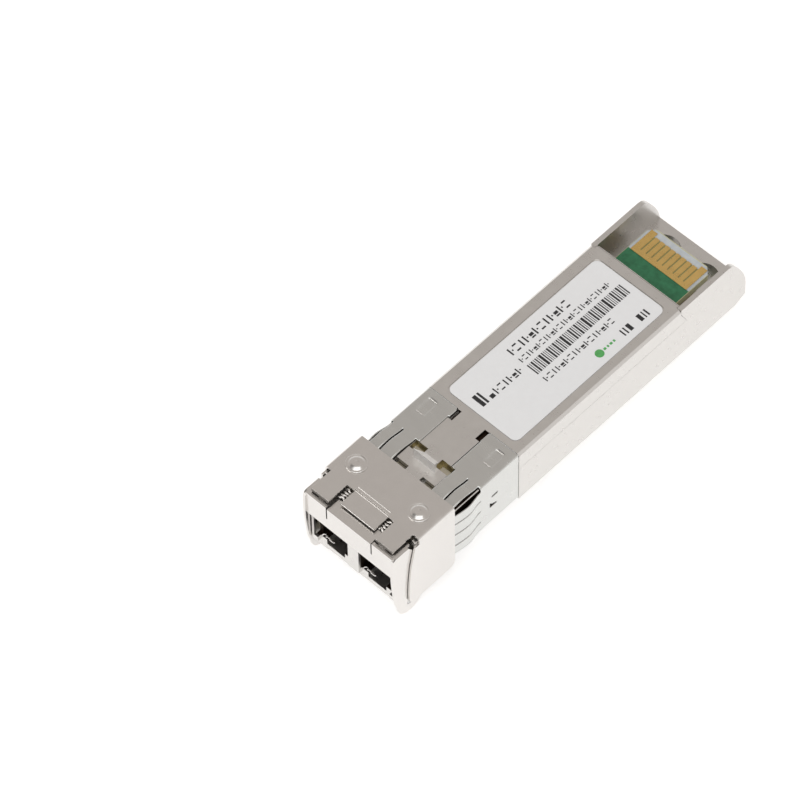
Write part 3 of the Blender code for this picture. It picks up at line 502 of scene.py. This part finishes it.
def collar_half():
    """The band, its fingers and the tab that drops into a notch, for the right half of the collar."""
    shape = bmesh.new()
    section = collar_section()
    count = round((COLLAR_BACK - FINGER_ROOT) / STRIDE)
    depths = [COLLAR_BACK + (FINGER_ROOT - COLLAR_BACK) * i / count for i in range(count + 1)]
    rows = []
    for y in depths:
        rows.append([shape.verts.new((x, y, z - emboss(x, y, z))) for x, z in section])
    for first, second, y0, y1 in zip(rows, rows[1:], depths, depths[1:]):
        for i in range(len(section) - 1):
            (xa, za), (xb, zb) = section[i], section[i + 1]
            if min(xa, xb) > COLLAR_HALF - 0.01 and louvre((y0 + y1) / 2, (za + zb) / 2):
                continue
            shape.faces.new((first[i], first[i + 1], second[i + 1], second[i]))
    for (xa, za), (xb, zb), (nx, nz) in finger_ranges():
        columns = [
            i for i, (x, z) in enumerate(section)
            if min(xa, xb) - 1e-6 <= x <= max(xa, xb) + 1e-6 and min(za, zb) - 1e-6 <= z <= max(za, zb) + 1e-6
        ]
        previous = [rows[-1][i] for i in columns]
        for k in range(1, FINGER_STEPS + 1):
            y = FINGER_ROOT + (FINGER_TIP - FINGER_ROOT) * k / FINGER_STEPS
            out = bulge(y)
            row = [shape.verts.new((section[i][0] + nx * out, y, section[i][1] + nz * out)) for i in columns]
            for a in range(len(columns) - 1):
                shape.faces.new((previous[a], previous[a + 1], row[a + 1], row[a]))
            previous = row
    tab_rows = [i for i, y in enumerate(depths) if TAB_ROWS[0] < y < TAB_ROWS[1]]
    before = [rows[i][0] for i in tab_rows]
    for x, z in TAB_DROP:
        row = [shape.verts.new((x, depths[i], z)) for i in tab_rows]
        for a in range(len(row) - 1):
            shape.faces.new((before[a], before[a + 1], row[a + 1], row[a]))
        before = row
    return shape


collar = collar_half()
other_half = collar.copy()
bmesh.ops.transform(other_half, matrix=Matrix.Diagonal((-1.0, 1.0, 1.0, 1.0)), verts=other_half.verts)
absorb(collar, other_half)
bmesh.ops.remove_doubles(collar, verts=collar.verts, dist=0.0005)
bmesh.ops.recalc_face_normals(collar, faces=collar.faces)
if sum(face.normal.x * face.calc_center_median().x for face in collar.faces) < 0:
    bmesh.ops.reverse_faces(collar, faces=collar.faces)
collar_piece = piece(
    "spring_collar", collar, looks["stainless_sheet"], "module", ("emi_collar",), 50
)
sheet = collar_piece.modifiers.new("sheet", "SOLIDIFY")
sheet.thickness = SHEET_THICKNESS * MM
sheet.offset = -1.0


# ---- label film with its print

LABEL = (-5.0, 5.36, -35.72, -11.33)
LABEL_BOTTOM, LABEL_FACE = 8.41, 8.47
LABEL_CORNER = 0.85
PRINT_GAP, PRINT_HEIGHT = 0.002, 0.01


def rounded_plate(x0, x1, y0, y1, z0, z1, radius, steps=10):
    """A flat plate with round corners and a fine chamfer along its upper edge."""
    outline = []
    corners = ((x1, y1), (x0, y1), (x0, y0), (x1, y0))
    inward = ((-1, -1), (1, -1), (1, 1), (-1, 1))
    for quarter, ((x, y), (sx, sy)) in enumerate(zip(corners, inward)):
        for i in range(steps + 1):
            angle = math.radians(90 * quarter + 90 * i / steps)
            across = x + sx * radius + radius * math.cos(angle)
            back = y + sy * radius + radius * math.sin(angle)
            outline.append((across, back))
    shape = bmesh.new()
    rings = []
    for z, inset in ((z0, 0.0), (z1 - 0.02, 0.0), (z1, 0.02)):
        ring = []
        for x, y in outline:
            across = x + (inset if x < (x0 + x1) / 2 else -inset)
            back = y + (inset if y < (y0 + y1) / 2 else -inset)
            ring.append(shape.verts.new((across, back, z)))
        rings.append(ring)
    shape.faces.new(rings[0][::-1])
    for first, second in zip(rings, rings[1:]):
        for i in range(len(outline)):
            j = (i + 1) % len(outline)
            shape.faces.new((first[i], first[j], second[j], second[i]))
    shape.faces.new(rings[-1])
    return shape


piece(
    "label_film", rounded_plate(*LABEL, LABEL_BOTTOM, LABEL_FACE, LABEL_CORNER), looks["label_stock"],
    "module", ("label",),
)


def printed(name, marks, material):
    """Thin raised marks, each (x0, x1, y0, y1) on the label's face."""
    shape = bmesh.new()
    low, high = LABEL_FACE + PRINT_GAP, LABEL_FACE + PRINT_HEIGHT
    for x0, x1, y0, y1 in marks:
        corners = [(x0, y0), (x1, y0), (x1, y1), (x0, y1)]
        bottom = [shape.verts.new((x, y, low)) for x, y in corners]
        top = [shape.verts.new((x, y, high)) for x, y in corners]
        shape.faces.new(bottom[::-1])
        shape.faces.new(top)
        for i in range(4):
            j = (i + 1) % 4
            shape.faces.new((bottom[i], bottom[j], top[j], top[i]))
    return piece(name, shape, material, "module")


def dashes(x0, x1, y0, y1, widths, gap):
    """A row of plain dashes along y between y0 and y1, with lengths taken in turn from widths."""
    marks, y, i = [], y0, 0
    while y < y1 - 0.15:
        end = min(y + widths[i % len(widths)], y1)
        marks.append((x0, x1, y, end))
        y, i = end + gap, i + 1
    return marks


def strokes(x0, x1, y0, y1, advance, pen):
    """A line of plain bars and short dashes. The row's foot is at x1, and it means nothing."""
    marks, y, i = [], y0, 0
    middle = (x0 + x1) / 2
    while y < y1 - pen:
        wide = min(y + advance * 0.72, y1)
        kind = i % 5
        if kind in (0, 3):
            marks.append((x0, x1, y, y + pen))
            marks.append((middle - pen / 2, middle + pen / 2, y + pen * 2, wide))
        elif kind == 1:
            marks.append((x0, x0 + pen, y, wide))
            marks.append((x1 - pen, x1, y, wide))
        elif kind == 2:
            marks.append((x0, x1, y + advance * 0.25, y + advance * 0.25 + pen))
        else:
            marks.append((middle - pen, middle + pen, y, wide))
            marks.append((x1 - pen, x1, y, wide))
        y, i = y + advance, i + 1
    return marks


BAR_WIDTHS = (0.16, 0.08, 0.24, 0.08, 0.16, 0.08, 0.32, 0.16, 0.08, 0.08, 0.24)
LINE_START = -27.4
print_marks = (
    dashes(-2.25, -0.45, -34.65, -33.4, (0.5, 0.28), 0.2)
    + dashes(-1.0, -0.45, -33.2, -32.6, (0.6,), 0.2)
    + strokes(-1.4, -0.45, -32.3, -28.1, 0.72, 0.17)
    + strokes(-3.8, -2.75, LINE_START, -17.9, 0.8, 0.2)
    + strokes(-2.05, -1.35, LINE_START, -12.9, 0.56, 0.13)
    + dashes(-0.75, 0.95, LINE_START, -12.1, BAR_WIDTHS, 0.16)
    + strokes(1.6, 2.35, LINE_START, -16.1, 0.66, 0.14)
    + dashes(3.5, 4.5, -17.0, -15.4, (0.18, 0.18, 0.5), 0.3)
    + dashes(3.5, 4.5, -14.3, -12.9, (0.5, 0.16), 0.26)
)
printed("label_print", print_marks, ink)
printed("label_print_green", dashes(3.85, 4.15, -20.0, -17.9, (0.35, 0.25), 0.2), green_ink)
dot = turned_shape(4.0, -20.7, [(0.0, 8.472), (0.55, 8.472), (0.55, 8.48), (0.0, 8.48)], 40)
piece("label_dot", dot, green_ink, "module")


# ---- rolled and burnished edges, small springs


def tube(points, radius, sides=10):
    """A round wire through the points, in datum millimetres, closed at its ends."""
    shape = bmesh.new()
    rings = []
    points = [Vector(p) for p in points]
    for i, point in enumerate(points):
        way = (points[min(i + 1, len(points) - 1)] - points[max(i - 1, 0)]).normalized()
        aside = way.orthogonal().normalized()
        if abs(way.z) < 0.9:
            aside = way.cross(Vector((0, 0, 1))).normalized()
        over = way.cross(aside)
        rings.append([
            shape.verts.new(point + radius * (math.cos(a) * aside + math.sin(a) * over))
            for a in (2 * math.pi * k / sides for k in range(sides))
        ])
    for first, second in zip(rings, rings[1:]):
        for k in range(sides):
            m = (k + 1) % sides
            shape.faces.new((first[k], first[m], second[m], second[k]))
    shape.faces.new(rings[0])
    shape.faces.new(rings[-1])
    bmesh.ops.recalc_face_normals(shape, faces=shape.faces)
    return shape


def wires(name, paths, radius, body="module"):
    """Several bright wires as one piece."""
    whole = bmesh.new()
    for path in paths:
        absorb(whole, tube(path, radius))
    return piece(name, whole, looks["bright_nickel"], body, smooth=60)


def crosswise(y, z, x0, x1):
    """A straight path from x0 to x1 at one depth and height."""
    return [(x0 + (x1 - x0) * i / 4, y, z) for i in range(5)]


TAB_HALF = 2.45
SIDES = (-1, 1)

wires(
    "tab_jog_edges",
    [crosswise(-52.3, 9.95, -TAB_HALF, TAB_HALF), crosswise(-52.75, 9.7, -TAB_HALF, TAB_HALF)], 0.085,
)
wires("tab_front_edge", [crosswise(-55.0, 9.63, -2.42, 2.42)], 0.08)
wires("cover_rear_edge", [crosswise(-9.8, 8.16, -6.0, 6.0)], 0.09)
wires("plate_lip_edges", [crosswise(-55.82, 9.92, side * 3.6, side * 6.0) for side in SIDES], 0.08)
wires("core_corner_edges", [[(side * 6.47, -47.3 + i * 0.55, 8.2) for i in range(9)] for side in SIDES], 0.08)
wires(
    "emboss_ends",
    [crosswise(y, 8.47, side * 4.5, side * 5.55) for side in SIDES for y in (-39.95, -37.8)], 0.075,
)


def side_gap_ledges():
    """A small bright plate at the top of each side panel's slanted gap."""
    whole = bmesh.new()
    for side in SIDES:
        x0, x1 = sorted((side * 6.18, side * 6.75))
        absorb(whole, rounded_plate(x0, x1, -53.15, -52.6, 8.5, 9.35, 0.12, 4))
    piece("side_gap_ledges", whole, looks["bright_nickel"], "module")


def relief_springs():
    """Four small arches on each side of the head's tab. They ride on the slider below them."""
    count, first_y, pitch = 4, -54.35, 0.4
    inner_x, span, foot_z, rise = 2.62, 0.82, 9.3, 0.32
    paths = []
    for side in SIDES:
        for number in range(count):
            y = first_y + number * pitch
            paths.append([
                (
                    side * (inner_x + span * k / 6),
                    y + 0.1 * math.sin(k + number),
                    foot_z + rise * math.sin(math.pi * k / 6),
                )
                for k in range(7)
            ])
    wires("relief_springs", paths, 0.13, "slider")


def port_clips():
    """Three short bent wires at the foot of each port's mouth."""
    port_pitch_half, reach_left = 3.125, 2.1
    paths = []
    for side in SIDES:
        left = port_pitch_half * side - reach_left
        for number, reach in enumerate((0.0, 0.55, 1.1)):
            paths.append([
                (left + reach + 0.12 * k, -55.35 + 0.08 * k, 0.98 + 0.28 * math.sin(k * 0.8 + number))
                for k in range(5)
            ])
    wires("port_clips", paths, 0.09)


side_gap_ledges()
relief_springs()
port_clips()


# ---------------------------------------------------------------- studio

# The open bail reaches 0.81 mm lower than the module does at rest, and the floor is clear of it.
FLOOR_Z = -0.85 * MM
FLOOR_HALF = 0.9
FLOOR_WHITES = ((0.86, 0.86, 0.86, 1), (0.88, 0.88, 0.88, 1))
FLOOR_GLOW = 0.46


def floor():
    """A plain white sheet that glows a little, so that it renders white."""
    shape = bmesh.new()
    bmesh.ops.create_grid(shape, x_segments=8, y_segments=8, size=FLOOR_HALF)
    bmesh.ops.translate(shape, verts=shape.verts, vec=(0, 0, FLOOR_Z))
    mesh = bpy.data.meshes.new("studio_floor")
    shape.to_mesh(mesh)
    shape.free()
    made = bpy.data.objects.new("studio_floor", mesh)
    bpy.context.scene.collection.objects.link(made)
    g = Graph("white_paper")
    cloud = g.noise(60, 2.0)
    g.put(g.shader.inputs["Base Color"], g.mix(g.spread(cloud, 0.0, 1.0), *FLOOR_WHITES))
    g.shader.inputs["Roughness"].default_value = 0.9
    g.shader.inputs["Specular IOR Level"].default_value = 0.1
    g.shader.inputs["Emission Color"].default_value = (1, 1, 1, 1)
    g.shader.inputs["Emission Strength"].default_value = FLOOR_GLOW
    dress(made, g.material)


def softbox(name, direction, distance, width, height, radiance, colour):
    """An area light that faces the module. Its power follows from the wanted radiance."""
    lamp = bpy.data.lights.new(name, "AREA")
    lamp.shape = "RECTANGLE"
    lamp.size, lamp.size_y = width, height
    lamp.energy = radiance * math.pi * width * height
    lamp.color = colour
    made = bpy.data.objects.new(name, lamp)
    towards = Vector(direction).normalized()
    made.location = Vector((0, 0, 0.006)) + towards * distance
    made.rotation_euler = towards.to_track_quat("Z", "Y").to_euler()
    bpy.context.scene.collection.objects.link(made)


HORIZON = (0.94, 0.935, 0.92, 1)
ZENITH = (0.56, 0.525, 0.495, 1)
DARK_PATCH = (0.2, 0.19, 0.18, 1)
DARK_PATCH_WAY = (-0.4, -0.28, 0.87)
LAMP_DISTANCE = 0.5


def studio():
    """The floor, a sky that is paler at the horizon, with one dark patch, and three soft boxes."""
    floor()
    world = bpy.data.worlds.new("studio")
    bpy.context.scene.world = world
    world.use_nodes = True
    tree = world.node_tree
    background = tree.nodes["Background"]
    place = tree.nodes.new("ShaderNodeTexCoord")
    direction = place.outputs["Generated"]

    def towards(vector, start, end):
        """1 in a cone about a direction, 0 outside it: start and end are cosines."""
        unit = tree.nodes.new("ShaderNodeVectorMath")
        unit.operation = "NORMALIZE"
        tree.links.new(direction, unit.inputs[0])
        dot = tree.nodes.new("ShaderNodeVectorMath")
        dot.operation = "DOT_PRODUCT"
        tree.links.new(unit.outputs[0], dot.inputs[0])
        dot.inputs[1].default_value = Vector(vector).normalized()
        ramp = tree.nodes.new("ShaderNodeMapRange")
        ramp.interpolation_type = "SMOOTHSTEP"
        tree.links.new(dot.outputs["Value"], ramp.inputs["Value"])
        ramp.inputs["From Min"].default_value = start
        ramp.inputs["From Max"].default_value = end
        return ramp.outputs["Result"]

    def blend(factor, first, second):
        mixed = tree.nodes.new("ShaderNodeMix")
        mixed.data_type = "RGBA"
        tree.links.new(factor, mixed.inputs[0])
        for socket, value in ((mixed.inputs[6], first), (mixed.inputs[7], second)):
            if isinstance(value, bpy.types.NodeSocket):
                tree.links.new(value, socket)
            else:
                socket.default_value = value
        return mixed.outputs[2]

    tone = blend(towards((0, 0, 1), 0.0, 0.42), HORIZON, ZENITH)
    tone = blend(towards(DARK_PATCH_WAY, 0.93, 0.985), tone, DARK_PATCH)
    tree.links.new(tone, background.inputs["Color"])
    background.inputs["Strength"].default_value = 1.0
    softbox("key", (0.3, -0.32, 0.9), LAMP_DISTANCE, 0.46, 0.46, 1.15, (0.95, 0.98, 1.0))
    softbox("front_strip", (-0.40, -0.82, 0.41), LAMP_DISTANCE, 0.42, 0.16, 2.4, (0.98, 0.97, 0.95))
    softbox("right_strip", (0.82, 0.41, 0.40), LAMP_DISTANCE, 0.42, 0.16, 0.3, (0.98, 0.98, 1.0))
    bpy.context.scene.view_settings.view_transform = "Standard"
    bpy.context.scene.view_settings.look = "None"


def camera():
    """A long lens, above, in front and to the right of the module."""
    azimuth, elevation, roll = (math.radians(a) for a in (44.588, 55.284, -1.243))
    distance, offset_x, offset_y = 600.0, 14.106, 0.444
    focal_length, sensor = 244.23, 36.0
    back = Vector((
        math.sin(azimuth) * math.cos(elevation), -math.cos(azimuth) * math.cos(elevation), math.sin(elevation)
    ))
    level = Vector((math.cos(azimuth), math.sin(azimuth), 0.0))
    rise = back.cross(level)
    right = math.cos(roll) * level + math.sin(roll) * rise
    up = -math.sin(roll) * level + math.cos(roll) * rise
    target = Vector((0.0, -28.0, 4.0))
    lens = bpy.data.cameras.new("camera")
    lens.sensor_width = sensor
    lens.sensor_fit = "HORIZONTAL"
    lens.lens = focal_length
    lens.clip_start = 0.01
    made = bpy.data.objects.new("camera", lens)
    place = at(*(target + back * distance - right * offset_x - up * offset_y))
    made.matrix_world = Matrix.Translation(place) @ Matrix((right, up, back)).transposed().to_4x4()
    bpy.context.scene.collection.objects.link(made)
    bpy.context.scene.camera = made


studio()
camera()
